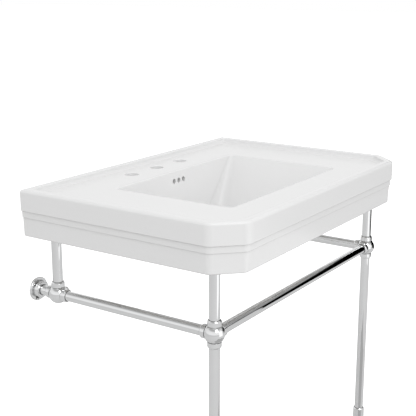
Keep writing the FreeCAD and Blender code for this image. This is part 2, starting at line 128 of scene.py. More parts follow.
class TubeSettings(bpy.types.PropertyGroup):
    """Tubes, balls and collars."""
    wall: length("Tube wall", "Thickness of the tubes", 0.0015)
    edge: length("Tube edge", "Round on the ends of the tubes", 0.0003)
    segments: IntProperty(name="Segments", description="Flats round a tube, collar or flange",
                          default=96, min=12)
    collar_chamfer: length("Collar chamfer", "Length of the cone at a collar's mouth", 0.003)
    collar_cone: length("Collar cone", "How much the collar's radius drops at its mouth", 0.0022)
    collar_gap: length("Collar gap", "Room round the tube in a collar's bore", 0.0001)
    mouth_gap: length("Mouth gap", "Room round the tube in a collar's mouth", 0.0007)
    mouth_depth: length("Mouth depth", "Depth of the wider mouth", 0.0015)
    softness: length("Turned edge", "Round on the edges of turned pieces", 0.0005)
    stud_bore: length("Stud bore", "Radius of the threaded holes in a ball", 0.00505)
    stud_depth: length("Stud depth", "Depth of the threaded holes below a ball's flats", 0.0115)


class BasinSizes(bpy.types.PropertyGroup):
    """Ceramic basin."""
    cant: length("Canted corner", "What each front corner takes off the side and the front", 0.060)
    front_round: length("Front round", "Plan radius at the canted corners", 0.026)
    back_round: length("Back round", "Plan radius at the back corners", 0.006)
    upper_band: length("Upper band", "Rim top to the first step", 0.049)
    middle_band: length("Middle band", "First step to the second", 0.0155)
    middle_inset: length("Middle inset", "How far the middle band stands in at its top", 0.0033)
    middle_lean: length("Middle lean", "How much further it stands in at its foot", 0.0005)
    lower_inset: length("Lower inset", "How far the lower band stands in at its top", 0.0060)
    lower_lean: length("Lower lean", "How much further it stands in at its foot", 0.0016)
    apron: length("Apron", "Rim top to the apron's lower edge", 0.110)
    apron_wall: length("Apron wall", "Thickness of the lower band", 0.012)
    back_wall: length("Back wall", "Thickness of the back", 0.016)
    back_share: share("Back share", "How much of the bands' insets the flat back has", 0.02)
    step_round: length("Step round", "Round on the upper band's lower edge", 0.0015)
    step_cove: length("Step cove", "Hollow in the steps of the apron", 0.0009)
    rim_round: length("Rim round", "Round on the rim's outer edge", 0.007)
    rim_inner_round: length("Rim inner round", "Round on the rim's inner edge", 0.0025)
    foot_round: length("Foot round", "Round on the apron's lower edge", 0.004)
    rim_width: length("Rim width", "Width of the raised rim", 0.0215)
    rim_height: length("Rim height", "Deck below the rim top", 0.0127)
    cove: length("Cove", "Hollow between rim and deck", 0.0095)
    deck_front_round: length("Deck front round", "Plan radius of the deck at the cants", 0.012)
    deck_back_round: length("Deck back round", "Plan radius of the deck at the back", 0.010)
    deck_thickness: length("Deck thickness", "Thickness of the deck", 0.014)
    side_ledge: length("Side ledge", "Basin's side to the bowl's edge", 0.1685)
    back_ledge: length("Back ledge", "Wall to the bowl's edge", 0.140)
    front_ledge: length("Front ledge", "Front of the apron to the bowl's edge", 0.113)
    bowl_depth: length("Bowl depth", "Deck to the bowl's floor", 0.135)
    bowl_wall: length("Bowl wall", "Thickness of the bowl", 0.012)
    side_lean: length("Side lean", "How far the side walls come in", 0.081)
    back_lean: length("Back lean", "How far the back wall comes in", 0.014)
    front_lean: length("Front lean", "How far the front wall comes in", 0.024)
    bowl_top_round: length("Bowl top round", "Plan radius of the bowl at the deck", 0.014)
    bowl_floor_round: length("Bowl floor round", "Plan radius of the bowl at its floor", 0.040)
    bowl_hollow: length("Bowl hollow", "Round between the bowl's walls and its floor", 0.030)
    lip: length("Lip", "Round on the bowl's edge", 0.004)
    dish_margin: length("Dish margin", "Flat floor left round the dish", 0.0095)
    dish_depth: length("Dish depth", "Fall of the floor to the waste", 0.005)
    waste_hole: length("Waste hole", "Diameter of the waste hole", 0.045)
    waste_recess: length("Waste recess", "Diameter of the seat round the waste hole", 0.064)
    recess_depth: length("Recess depth", "Depth of that seat", 0.003)
    waste_round: length("Waste round", "Round on the edges of the waste hole", 0.0012)
    boss_wall: length("Boss wall", "Thickness of the boss under the waste", 0.015)
    overflow_hole: length("Overflow hole", "Diameter of the three overflow holes", 0.013)
    overflow_spacing: length("Overflow spacing", "Between neighbouring overflow holes", 0.0195)
    overflow_drop: length("Overflow drop", "Overflow holes below the deck", 0.025)
    duct_width: length("Duct width", "Width of the overflow duct", 0.060)
    duct_gap: length("Duct gap", "Depth of the overflow duct", 0.012)
    duct_wall: length("Duct wall", "Thickness of the duct's walls", 0.008)
    duct_head: length("Duct head", "Duct's roof above the overflow holes", 0.002)
    duct_rise: length("Duct rise", "Duct's underside above that of the waste boss", 0.0005)
    tap_hole: length("Tap hole", "Diameter of the three tap holes", 0.035)
    tap_spacing: length("Tap spacing", "Between neighbouring tap holes", 0.1016)
    tap_from_wall: length("Taps from wall", "Wall to the tap holes", 0.0725)
    tap_round: length("Tap hole round", "Round on the tap holes' edges", 0.0015)
    bolt_hole: length("Bolt hole", "Diameter of the wall bolts' holes", 0.022)
    socket_gap: length("Socket gap", "Room round a post in its socket", 0.001)
    socket_wall: length("Socket wall", "Thickness round a post's socket", 0.015)
    socket_drop: length("Socket drop", "Rim top to the roof of a post's socket", 0.042)
    corner_steps: IntProperty(name="Corner steps", description="Flats in a plan corner",
                              default=12, min=2)
    edge_steps: IntProperty(name="Edge steps", description="Flats in a rounded edge",
                            default=6, min=2)


class FlangeSizes(bpy.types.PropertyGroup):
    """Wall flanges, their screws and the blanking plugs."""
    plate: length("Plate", "Thickness of the flange's plate", 0.004)
    plate_round: length("Plate round", "Round on the plate's edge", 0.0012)
    hub_wall: length("Hub wall", "Thickness of the hub round the stub", 0.00765)
    hub_round: length("Hub round", "Round on the hub's edge", 0.0025)
    hub_cove: length("Hub cove", "Hollow between hub and plate", 0.0008)
    floor: length("Hub floor", "Closed thickness behind the stub", 0.003)
    first_screw: angle("First screw", "Angle of the first screw, from level", 12.0)
    hole: length("Screw hole", "Diameter of the screw holes", 0.0055)
    neck: length("Screw neck", "Diameter of the screws in the plate", 0.0044)
    head: length("Screw head", "Diameter of the screw heads", 0.0072)
    head_height: length("Head height", "Height of the screw heads", 0.0024)
    head_round: length("Head round", "Round on the screw heads", 0.001)
    cross: length("Cross", "Width of the cross recess in a head", 0.0042)
    cross_arm: length("Cross arm", "Width of the recess's arms", 0.0011)
    cross_depth: length("Cross depth", "Depth of the recess", 0.0013)
    set_screw: length("Set screw", "Diameter of the hub's set screw", 0.005)
    blank_height: length("Blank height", "Blanking plug beyond the ball", 0.0095)
    blank_round: length("Blank round", "Round on the blanking plug", 0.003)


class FixingSizes(bpy.types.PropertyGroup):
    """Wall bolts of the basin."""
    machine: length("Machine thread", "Diameter of the thread under the nut", 0.008)
    machine_pitch: length("Machine pitch", "Pitch of that thread", 0.00125)
    anchor: length("Anchor thread", "Diameter of the thread in the wall", 0.010)
    anchor_pitch: length("Anchor pitch", "Pitch of that thread", 0.0035)
    anchor_tip: length("Anchor tip", "Length of the pointed end", 0.012)
    nut_chamfer: length("Nut chamfer", "Height of the nut's chamfer", 0.0009)
    nut_flats: length("Nut", "Width across the nut's flats", 0.013)
    bush_flange: length("Bush flange", "Thickness of the bush's flange", 0.003)
    gap: length("Gap", "Room in the bush and round it", 0.0001)
    edge: length("Edge", "Round on the edges of the bushes and washers", 0.0004)


class FootSizes(bpy.types.PropertyGroup):
    """Adjustable feet."""
    pad_height: length("Pad height", "Thickness of the rubber pad", 0.004)
    pad_pin: length("Pad pin", "Diameter of the pin on the pad", 0.008)
    plate: length("Base plate", "Thickness of the foot's base", 0.004)
    plate_round: length("Base round", "Round on the base's edge", 0.0012)
    stud: length("Stud", "Diameter of the levelling stud", 0.012)
    stud_seat: length("Stud seat", "Floor to the stud's lower end", 0.012)
    pin_hole_roof: length("Pin hole roof", "Floor to the roof of the pin's hole", 0.0093)
    running_gap: length("Running gap", "Room between tube and sleeve", 0.0003)
    pad_groove: length("Pad groove", "Depth of the groove round the pad", 0.0005)
    pad_round: length("Pad round", "Round on the pad's edges", 0.0008)


class StudioSettings(bpy.types.PropertyGroup):
    """Camera, floor and light."""
    camera_place: position("Camera", "Where the camera stands", (-1.8086, -1.1976, 1.3267))
    camera_azimuth: angle("Azimuth", "0 looks straight at the wall", -56.187)
    camera_elevation: angle("Elevation", "How far the camera looks down", 14.443)
    lens: FloatProperty(name="Lens", description="Focal length on a 36 mm sensor, in millimetres",
                        default=78.106, min=1, unit="CAMERA")
    shift_x: FloatProperty(name="Shift X", description="Sideways shift of the picture",
                           default=-0.00786)
    shift_y: FloatProperty(name="Shift Y", description="Upward shift of the picture",
                           default=0.00125)
    floor_size: length("Floor", "Side of the square floor", 60.0)
    floor_glow: share("Floor glow", "White added to what the camera sees of the floor", 0.50)
    key_place: position("Key light", "Where the large front light stands", (-1.4, -2.5, 2.9))
    key_aim: position("Key light aim", "What the large front light points at", (0, 0, 0.8))
    key_power: FloatProperty(name="Key light power", description="Power of the large front light",
                             default=21.0, min=0, unit="POWER")
    key_size: length("Key light size", "Side of the square front light", 1.8)


class BasinSettings(bpy.types.PropertyGroup):
    """All settings of the console basin."""
    finishes: PointerProperty(type=FinishSettings)
    basin: PointerProperty(type=BasinSizes)
    tubes: PointerProperty(type=TubeSettings)
    flanges: PointerProperty(type=FlangeSizes)
    fixings: PointerProperty(type=FixingSizes)
    feet: PointerProperty(type=FootSizes)
    studio: PointerProperty(type=StudioSettings)


def settings():
    return bpy.context.scene.console_basin


# ---- materials
BISQUE_AND_SHADE_FACING = (-0.5, -0.9)       # upward part of the normal where the glaze ends, and where only bare clay is left, painted dark for the shade under the basin
PAINTED_SHADE_REACH = 0.008              # metres that the painted shade of a joint reaches
PAINTED_SHADE_SKY = (0.46, 0.78)         # share of open sky where the painted shade is darkest, and where it ends
PAINTED_SHADE_TONE = 0.02                # what is left of the tint where the painted shade is darkest
USUAL_NOISE = (0.3, 0.7)           # where most of a noise's values lie


def feed(tree, node, inputs):
    """Link each input, by name or number, where it is given a socket; else set its value."""
    for key, value in inputs.items():
        if isinstance(value, bpy.types.NodeSocket):
            tree.links.new(value, node.inputs[key])
        else:
            node.inputs[key].default_value = value


def add_node(tree, kind, inputs=None, **values):
    """New shader node with its settings and what feeds it."""
    node = tree.nodes.new(kind)
    for name, value in values.items():
        setattr(node, name, value)
    feed(tree, node, inputs or {})
    return node


def new_material(name):
    """Material with its tree and its Principled shader."""
    material = bpy.data.materials.new(name)
    material.use_nodes = True
    return material, material.node_tree, material.node_tree.nodes["Principled BSDF"]


def object_noise(tree, scale, detail=4.0):
    """Noise that stays with the piece, as a value from 0 to 1."""
    place = add_node(tree, "ShaderNodeTexCoord").outputs["Object"]
    return add_node(tree, "ShaderNodeTexNoise",
                    {"Vector": place, "Scale": scale, "Detail": detail}).outputs["Fac"]


def ranged(tree, value, start, end, low=0.0, high=1.0):
    """Value between two limits, mapped to another range."""
    return add_node(tree, "ShaderNodeMapRange", {
        "Value": value, "From Min": start, "From Max": end, "To Min": low, "To Max": high,
    }).outputs[0]


def spread(tree, value, low=0.0, high=1.0):
    """Noise value, mapped so that it fills a range."""
    return ranged(tree, value, *USUAL_NOISE, low, high)


def mixed(tree, part, low, high, blend="MIX"):
    """Mix of two colours, each a colour or a socket, by a part from 0 to 1."""
    low, high = [end if isinstance(end, bpy.types.NodeSocket) else (*end, 1) for end in (low, high)]
    return add_node(tree, "ShaderNodeMix", {0: part, "A": low, "B": high}, data_type="RGBA",
                    blend_type=blend).outputs["Result"]


def maths(tree, operation, first, second):
    return add_node(tree, "ShaderNodeMath", {0: first, 1: second}, operation=operation).outputs[0]


def bumped(tree, height, strength, distance):
    return add_node(tree, "ShaderNodeBump",
                    {"Height": height, "Strength": strength, "Distance": distance}).outputs[0]


def shade(tint, factor):
    return tuple(channel * factor for channel in tint)


def glaze(tree, shader):
    """White glaze, faintly uneven in tone, gloss and surface; bare clay where it faces down,
    painted dark for the shade under the basin.
    """
    finish = settings().finishes
    rough = finish.glaze_roughness
    tone = spread(tree, object_noise(tree, scale=7.0))
    glazed = mixed(tree, tone, shade(finish.glaze, factor=0.994), finish.glaze)
    normal = add_node(tree, "ShaderNodeNewGeometry").outputs["Normal"]
    facing = add_node(tree, "ShaderNodeSeparateXYZ", {0: normal}).outputs["Z"]
    feed(tree, shader, {
        # painted shade: surfaces that face down take the dark clay colour
        "Base Color": mixed(tree, ranged(tree, facing, *BISQUE_AND_SHADE_FACING), glazed, finish.bisque_and_shade),
        "Roughness": spread(tree, object_noise(tree, scale=22.0), rough * 0.9, rough * 1.15),
        "Normal": bumped(tree, object_noise(tree, scale=30.0, detail=1.0), strength=0.05,
                         distance=0.001),
        "IOR": 1.5,
    })


def painted_crevice_shade(tree, colours):
    """The colours with painted shade: darker in joints and tight corners, where little light
    reaches.
    """
    sky = add_node(tree, "ShaderNodeAmbientOcclusion", {"Distance": PAINTED_SHADE_REACH}, samples=8)
    clear = ranged(tree, sky.outputs["AO"], *PAINTED_SHADE_SKY, PAINTED_SHADE_TONE, 1.0)
    return mixed(tree, 1.0, colours, clear, "MULTIPLY")


def metal(tree, shader, tint, roughness, scale, ripple=0.0):
    """Metal whose tone and polish vary a little, as wiped plating does, with painted shade in its
    joints.
    """
    wiped = spread(tree, object_noise(tree, scale, detail=5.0))
    polish = object_noise(tree, scale * 2.5)
    feed(tree, shader, {
        # painted shade: the base colour is darkened in joints and tight corners
        "Base Color": painted_crevice_shade(tree, mixed(tree, wiped, shade(tint, factor=0.975), tint)),
        "Roughness": spread(tree, polish, roughness * 0.8, roughness * 1.3),
        "Metallic": 1.0,
    })
    if ripple:
        waves = object_noise(tree, scale * 12, detail=3.0)
        feed(tree, shader, {"Normal": bumped(tree, waves, ripple, distance=0.0004)})


def moulded(tree, shader, tint, roughness, scale):
    """Rubber or nylon with a fine moulded grain."""
    patch = spread(tree, object_noise(tree, scale / 8))
    feed(tree, shader, {
        "Base Color": mixed(tree, patch, shade(tint, factor=0.9), tint),
        "Roughness": spread(tree, patch, roughness * 0.9, roughness * 1.1),
        "Normal": bumped(tree, object_noise(tree, scale, detail=2.0), strength=0.25,
                         distance=0.0002),
    })


def finish_for(slot):
    """Material of one of the record's finishes, made when it is first asked for."""
    name = "finish_" + slot
    known = bpy.data.materials.get(name)
    if known:
        return known
    finish = settings().finishes
    # Each way of finishing, with its tint, roughness, scale of marks and, on metal, its ripple.
    ways = {
        "ceramic": (glaze,),
        "chrome": (metal, finish.chrome, finish.chrome_roughness, 18.0),
        "steel": (metal, finish.zinc, 0.32, 60.0, 0.15),
        "brass": (metal, finish.brass, 0.25, 80.0, 0.1),
        "rubber": (moulded, finish.rubber, 0.62, 900.0),
        "plastic": (moulded, finish.nylon, 0.42, 500.0),
    }
    apply, *looks = ways[slot]
    material, tree, shader = new_material(name)
    apply(tree, shader, *looks)
    return material


# ---- mesh helpers
def rounded(corners, steps, closed):
    """Points through (u, v, radius) corners, each round drawn with that many steps."""
    points = [Vector((u, v)) for u, v, _ in corners]
    count = len(points)
    line = []
    for i, here in enumerate(points):
        radius = corners[i][2]
        if radius < TINY or (not closed and i in (0, count - 1)):
            line.append(here)
            continue
        before = (points[i - 1] - here).normalized()
        after = (points[(i + 1) % count] - here).normalized()
        half_angle = before.angle(after) / 2
        centre = here + (before + after).normalized() * (radius / math.sin(half_angle))
        start = here + before * (radius / math.tan(half_angle)) - centre
        turn = start.angle_signed(here + after * (radius / math.tan(half_angle)) - centre)
        for step in range(steps + 1):
            line.append(centre + Matrix.Rotation(-turn * step / steps, 2) @ start)
    return line


def ring(bm, places):
    """New vertices at some places."""
    return [bm.verts.new(place) for place in places]


def circle(centre, way, radius, segments):
    """Places on a circle round an axis, or its centre where the radius is nothing."""
    if radius < TINY:
        return [centre]
    side = way.orthogonal().normalized()
    other = way.cross(side)
    turns = [2 * math.pi * i / segments for i in range(segments)]
    return [centre + (side * math.cos(t) + other * math.sin(t)) * radius for t in turns]


def bridge(bm, ring_a, ring_b):
    """Faces between two rings with as many vertices, or between a ring and a point."""
    count = max(len(ring_a), len(ring_b))
    for i in range(count):
        j = (i + 1) % count
        corners = [ring_a[i % len(ring_a)], ring_a[j % len(ring_a)],
                   ring_b[j % len(ring_b)], ring_b[i % len(ring_b)]]
        bm.faces.new(list(dict.fromkeys(corners)))


def bridge_all(bm, rings, closed=False):
    """Faces between each ring and the next, and from the last to the first where closed."""
    for ring_a, ring_b in zip(rings, rings[1:]):
        bridge(bm, ring_a, ring_b)
    if closed:
        bridge(bm, rings[-1], rings[0])


def prism_into(bm, outline, run):
    """Closed prism."""
    near = ring(bm, outline)
    far = ring(bm, [place + run for place in outline])
    bm.faces.new(near)
    bm.faces.new(far)
    bridge(bm, near, far)


def rod_into(bm, centre, run, radius):
    """Closed plain rod."""
    prism_into(bm, circle(centre, run.normalized(), radius, segments=48), run)


def turn_into(bm, corners, start, way, segments, steps=4, closed=None):
    """Surface of revolution from (radius, height, corner radius) corners; returns its rings."""
    if closed is None:
        closed = corners[0][0] > TINY and corners[-1][0] > TINY
    line = rounded(corners, steps, closed)
    rings = [ring(bm, circle(start + way * point.y, way, point.x, segments)) for point in line]
    bridge_all(bm, rings, closed)
    return rings


def fill_flat(bm, outline, holes, normal):
    """Triangles in a plane between an outline and the holes in it, all rings of vertices."""
    edges = []
    for loop in [outline] + holes:
        for here, there in zip(loop, loop[1:] + loop[:1]):
            edges.append(bm.edges.get((here, there)) or bm.edges.new((here, there)))
    bmesh.ops.triangle_fill(bm, edges=edges, normal=normal, use_beauty=True)


def mesh_from(bm, name):
    """Mesh data with outward faces."""
    bmesh.ops.recalc_face_normals(bm, faces=bm.faces)
    mesh = bpy.data.meshes.new(name)
    bm.to_mesh(mesh)
    bm.free()
    return mesh


def placed(name, data):
    """New object in the scene."""
    item = bpy.data.objects.new(name, data)
    bpy.context.scene.collection.objects.link(item)
    return item


def combined(mesh, tool_bm, operation):
    """Mesh data of a solid with another one added to it or cut from it."""
    base = placed("base", mesh)
    tool = placed("tool", mesh_from(tool_bm, "tool"))
    cut = base.modifiers.new("cut", "BOOLEAN")
    cut.operation = operation
    cut.solver = "EXACT"
    cut.object = tool
    ready = base.evaluated_get(bpy.context.evaluated_depsgraph_get())
    made = bpy.data.meshes.new_from_object(ready)
    bpy.data.objects.remove(base)
    bpy.data.objects.remove(tool)
    return made


def show(made, node, sharp_degrees=30):
    """Show a mesh in place of a CAD node, on the node's body and in its finish."""
    mesh = mesh_from(made, node) if isinstance(made, bmesh.types.BMesh) else made
    mesh.name = node + "_surface"
    mesh.materials.clear()
    mesh.polygons.foreach_set("use_smooth", [True] * len(mesh.polygons))
    mesh.set_sharp_from_angle(angle=math.radians(sharp_degrees))
    piece = placed(node + "_finished", mesh)
    slot = SLOT_OF_NODE[node]
    mesh.materials.append(finish_for(slot))
    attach(piece, BODY_OF_NODE[node])
    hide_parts(node)
    even = piece.modifiers.new("even_shading", "WEIGHTED_NORMAL")
    even.keep_sharp = True


def lie(node, way):
    """Start, length and radius of a round node that lies along an axis."""
    low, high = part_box(node)
    half = (high - low) / 2
    centre = (high + low) / 2
    run = abs(half.dot(way))
    across = [abs(half[i]) for i in range(3) if abs(way[i]) < 0.5]
    return centre - way * run, 2 * run, max(across)


def show_turned(node, way, corners, steps=4):
    """Show a surface of revolution in place of a round node; see turn_into."""
    bm = bmesh.new()
    turn_into(bm, corners, lie(node, way)[0], way, settings().tubes.segments, steps)
    show(bm, node)


# ---- balls, tubes and collars
def ball_centre(row, side):
    low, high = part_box(f"post_{row}_{side}")
    return Vector(((low.x + high.x) / 2, (low.y + high.y) / 2, RAIL_HEIGHT))


def ball_ports(row, side):
    """Directions of a ball's tubes, and of the spare port of a rear ball."""
    inwards = RIGHT if side == "left" else LEFT
    if row == "front":
        return {"top": UP, "bottom": DOWN, "side": TO_WALL, "front": inwards}
    return {"top": UP, "side": FROM_WALL, "wall": TO_WALL, "spare": inwards}


def tube_ways():
    """Each tube's node, with the axis that it lies along."""
    ways = {"front_rail": RIGHT}
    for side in SIDES:
        ways[f"side_rail_{side}"] = TO_WALL
        ways[f"leg_{side}"] = DOWN
        ways[f"wall_stub_{side}"] = TO_WALL
        for row in ROWS:
            ways[f"post_{row}_{side}"] = UP
    return ways


def make_tube(node, way):
    tubes = settings().tubes
    _, run, radius = lie(node, way)
    bore = radius - tubes.wall
    corners = ((bore, 0), (radius, 0), (radius, run), (bore, run))
    show_turned(node, way, [(reach, height, tubes.edge) for reach, height in corners], steps=2)


def make_sleeve(node, way, bore):
    """Collar or foot sleeve: a tapered mouth with a wider bore, where the tube goes in."""
    tubes = settings().tubes
    _, run, radius = lie(node, way)
    nose = radius - tubes.collar_cone
    mouth = bore + tubes.mouth_gap - tubes.collar_gap
    lip = min(tubes.softness, (nose - mouth) / 3)
    show_turned(node, way, [
        (bore, 0, 0),
        (radius, 0, tubes.softness),
        (radius, run - tubes.collar_chamfer, 2 * tubes.softness),
        (nose, run, lip),
        (mouth, run, lip),
        (mouth, run - tubes.mouth_depth, 0),
        (bore, run - tubes.mouth_depth, 0),
    ])


def make_ball(row, side):
    """Ball of six like patches, each round a port with a flat and a threaded hole, or closed."""
    tubes = settings().tubes
    node = f"ball_{row}_{side}"
    centre = ball_centre(row, side)
    low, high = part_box(node)
    radius = max(high.x - centre.x, centre.x - low.x)
    weld = radius * 1e-4
    ports = [tuple(way) for way in ball_ports(row, side).values()]
    port_angle = math.acos(BALL_SEAT / radius)
    steps = 14
    seam_steps = 24
    bm = bmesh.new()
    for way in (UP, DOWN, RIGHT, LEFT, TO_WALL, FROM_WALL):
        across = Vector((way.y, way.z, way.x))
        along = way.cross(across)
        seam = []
        for corner in range(4):
            turn = Matrix.Rotation(math.pi / 2 * corner, 3, way)
            for step in range(seam_steps):
                slope = math.tan(math.pi / 4 * (2 * step / seam_steps - 1))
                seam.append((turn @ (way + across + along * slope)).normalized())
        ported = tuple(way) in ports
        last_angle = port_angle if ported else 0.0
        rings = []
        for step in range(steps + 1):
            places = []
            for spot in seam:
                full = way.angle(spot)
                lean = full + (last_angle - full) * step / steps
                level = (spot - way * spot.dot(way)).normalized()
                places.append(centre + (way * math.cos(lean) + level * math.sin(lean)) * radius)
            if step == steps and not ported:
                places = [centre + way * radius]
            rings.append(ring(bm, places))
        bridge_all(bm, rings)
        if ported:
            flat = centre + way * BALL_SEAT
            around = [(vertex.co - flat).normalized() * tubes.stud_bore for vertex in rings[-1]]
            mouth = ring(bm, [flat + spot for spot in around])
            foot = ring(bm, [flat - way * tubes.stud_depth + spot for spot in around])
            bridge_all(bm, [rings[-1], mouth, foot])
            bm.faces.new(foot)
    bmesh.ops.remove_doubles(bm, verts=bm.verts, dist=weld)
    show(bm, node)


# ---- basin
def basin_outline(sizes, inset, back_inset, front_round, back_round):
    """Plan of the basin, drawn in at the sides and front, and by its own inset at the back."""
    least_round = 0.0003
    cant_shift = inset * math.tan(math.pi / 8)
    half = basin_high.x - inset
    front_round = max(front_round, least_round)
    right = [
        (half, basin_high.y - back_inset, max(back_round, least_round)),
        (half, basin_low.y + sizes.cant + cant_shift, front_round),
        (basin_high.x - sizes.cant - cant_shift, basin_low.y + inset, front_round),
    ]
    left = [(-x, y, round_) for x, y, round_ in reversed(right)]
    return rounded(right + left, sizes.corner_steps, True)


def ring_at(bm, outline, z):
    return ring(bm, [(point.x, point.y, z) for point in outline])


def inside_rings(bm, sizes):
    """Rings from the deck up the cove to the top of the rim."""
    rim_z = basin_high.z
    deck_z = rim_z - sizes.rim_height
    section = rounded([
        (sizes.rim_width + sizes.cove, deck_z, 0),
        (sizes.rim_width, deck_z, sizes.cove),
        (sizes.rim_width, rim_z, sizes.rim_inner_round),
        (sizes.rim_round, rim_z, 0),
    ], sizes.edge_steps, False)
    rings = []
    for inset, z in section[1:-1]:
        moved = sizes.rim_width - inset
        outline = basin_outline(sizes, inset, inset, sizes.deck_front_round + moved,
                                sizes.deck_back_round + moved)
        rings.append(ring_at(bm, outline, z))
    return rings


def outside_rings(bm, sizes):
    """Rings from the top of the rim down the stepped apron and up inside it to under the deck."""
    rim_z = basin_high.z
    deck_under_z = rim_z - sizes.rim_height - sizes.deck_thickness
    step_z = rim_z - sizes.upper_band
    second_z = step_z - sizes.middle_band
    apron_z = rim_z - sizes.apron
    lower_foot = sizes.lower_inset + sizes.lower_lean
    inner = lower_foot + sizes.apron_wall
    section = rounded([
        (sizes.rim_width, rim_z, 0),
        (0, rim_z, sizes.rim_round),
        (0, step_z, sizes.step_round),
        (sizes.middle_inset, step_z, sizes.step_cove),
        (sizes.middle_inset + sizes.middle_lean, second_z, sizes.step_cove),
        (sizes.lower_inset, second_z, sizes.step_cove),
        (lower_foot, apron_z, sizes.foot_round),
        (inner, apron_z, sizes.foot_round),
        (inner, deck_under_z, sizes.foot_round),
        (inner + sizes.cove, deck_under_z, 0),
    ], sizes.edge_steps, False)
    rings = []
    for inset, z in section[1:-1]:
        if z > rim_z - sizes.rim_round:
            back_inset = inset
        elif inset > inner - sizes.foot_round - TINY:
            back_inset = inset - inner + sizes.back_wall
        else:
            back_inset = inset * sizes.back_share
        outline = basin_outline(sizes, inset, back_inset, sizes.front_round - inset,
                                sizes.back_round - back_inset)
        rings.append(ring_at(bm, outline, z))
    return rings


def bowl_outline(sizes, part_way, wall=0.0):
    """Plan of the bowl between deck (0) and floor (1): places and outward directions."""
    x = basin_high.x - sizes.side_ledge - sizes.side_lean * part_way + wall
    back = basin_high.y - sizes.back_ledge - sizes.back_lean * part_way + wall
    front = basin_low.y + sizes.front_ledge + sizes.front_lean * part_way - wall
    radius = sizes.bowl_top_round + wall
    radius += (sizes.bowl_floor_round - sizes.bowl_top_round) * part_way
    places = []
    for corner, (sign_x, y) in enumerate(((1, back - radius), (-1, back - radius),
                                          (-1, front + radius), (1, front + radius))):
        centre = Vector((sign_x * (x - radius), y, 0))
        for step in range(sizes.corner_steps + 1):
            turn = math.pi / 2 * (corner + step / sizes.corner_steps)
            out = Vector((math.cos(turn), math.sin(turn), 0))
            places.append((centre + out * radius, out))
    return places


def bowl_rings(bm, sizes):
    """Rings from the deck over the bowl's lip and down its walls to the flat of its floor."""
    deck_z = basin_high.z - sizes.rim_height
    floor_z = deck_z - sizes.bowl_depth
    lip_steps = sizes.edge_steps
    hollow_steps = 2 * sizes.edge_steps
    columns = []
    for (top, out), (foot, _) in zip(bowl_outline(sizes, 0), bowl_outline(sizes, 1)):
        lean = math.atan((top - foot).dot(out) / sizes.bowl_depth)
        swing = math.pi / 2 - lean
        tangent = math.tan(swing / 2)
        column = []
        for step in range(lip_steps + 1):
            turn = swing * step / lip_steps
            column.append(top + out * sizes.lip * (tangent - math.sin(turn))
                          + UP * (deck_z - sizes.lip * (1 - math.cos(turn))))
        for step in range(hollow_steps, -1, -1):
            turn = swing * step / hollow_steps
            column.append(foot + out * sizes.bowl_hollow * (math.sin(turn) - tangent)
                          + UP * (floor_z + sizes.bowl_hollow * (1 - math.cos(turn))))
        columns.append(column)
    return [ring(bm, places) for places in zip(*columns)]


def tap_rings(bm, sizes, x, y):
    """Rings of one tap hole, from the deck down to its underside."""
    deck_z = basin_high.z - sizes.rim_height
    radius = sizes.tap_hole / 2
    soft = sizes.tap_round
    section = []
    for step in range(sizes.edge_steps + 1):
        turn = math.pi / 2 * step / sizes.edge_steps
        section.append((deck_z - soft * (1 - math.cos(turn)), radius + soft * (1 - math.sin(turn))))
    section.append((deck_z - sizes.deck_thickness, radius))
    rings = [ring(bm, circle(Vector((x, y, z)), UP, reach, segments=64)) for z, reach in section]
    bridge_all(bm, rings)
    return rings


def waste_place(sizes):
    """Where the middle of the bowl's floor is in y, and half the floor's depth."""
    back = basin_high.y - sizes.back_ledge - sizes.back_lean
    front = basin_low.y + sizes.front_ledge + sizes.front_lean
    return (back + front) / 2, (back - front) / 2


def waste_rings(bm, sizes):
    """Rings from the dished floor through the waste hole to the underside of the bowl."""
    floor_z = basin_high.z - sizes.rim_height - sizes.bowl_depth
    waste_y, half = waste_place(sizes)
    side_half = basin_high.x - sizes.side_ledge - sizes.side_lean
    dish = min(half, side_half) - sizes.bowl_hollow - sizes.dish_margin
    seat_z = floor_z - sizes.dish_depth - sizes.recess_depth
    hole = sizes.waste_hole / 2
    boss = hole + sizes.boss_wall
    flat = 0.001
    soft = sizes.waste_round
    section = rounded([
        (dish + flat, floor_z, 0),
        (dish, floor_z, soft / 2),
        (sizes.waste_recess / 2, floor_z - sizes.dish_depth, soft),
        (sizes.waste_recess / 2, seat_z, soft),
        (hole, seat_z, soft),
        (hole, basin_low.z, soft),
        (boss, basin_low.z, soft),
        (boss, floor_z - sizes.bowl_wall, 0),
    ], sizes.edge_steps, False)
    rings = [ring(bm, circle(Vector((0, waste_y, z)), UP, radius, segments=96))
             for radius, z in section]
    bridge_all(bm, rings)
    return rings


def duct_profile(sizes, wall):
    """Side view of the overflow duct, as (y, z) corners, moved out by a wall thickness."""
    deck_z = basin_high.z - sizes.rim_height
    channel_y = basin_high.y - sizes.back_ledge + sizes.duct_wall
    low_z = basin_low.z + sizes.duct_wall + sizes.duct_rise
    level_top = low_z + sizes.duct_gap
    mouth_share = 0.4
    mouth_y = waste_place(sizes)[0] + sizes.waste_hole * mouth_share
    top_z = deck_z - sizes.overflow_drop + sizes.overflow_hole / 2 + sizes.duct_head
    if wall:
        level_top += sizes.bowl_wall / 2
        mouth_y = waste_place(sizes)[0] + sizes.waste_hole / 2 + sizes.boss_wall / 2
        top_z = deck_z - sizes.deck_thickness / 2
    return [
        (channel_y - wall, level_top),
        (channel_y - wall, top_z),
        (channel_y + sizes.duct_gap + wall, top_z),
        (channel_y + sizes.duct_gap + wall, low_z - wall),
        (mouth_y, low_z - wall),
        (mouth_y, level_top),
    ]


def socket_rods(bm, foot_z, roof_z, radius):
    """Upright rods round the axes of the four posts."""
    for row, side in BALLS:
        centre = ball_centre(row, side)
        rod_into(bm, Vector((centre.x, centre.y, foot_z)), UP * (roof_z - foot_z), radius)


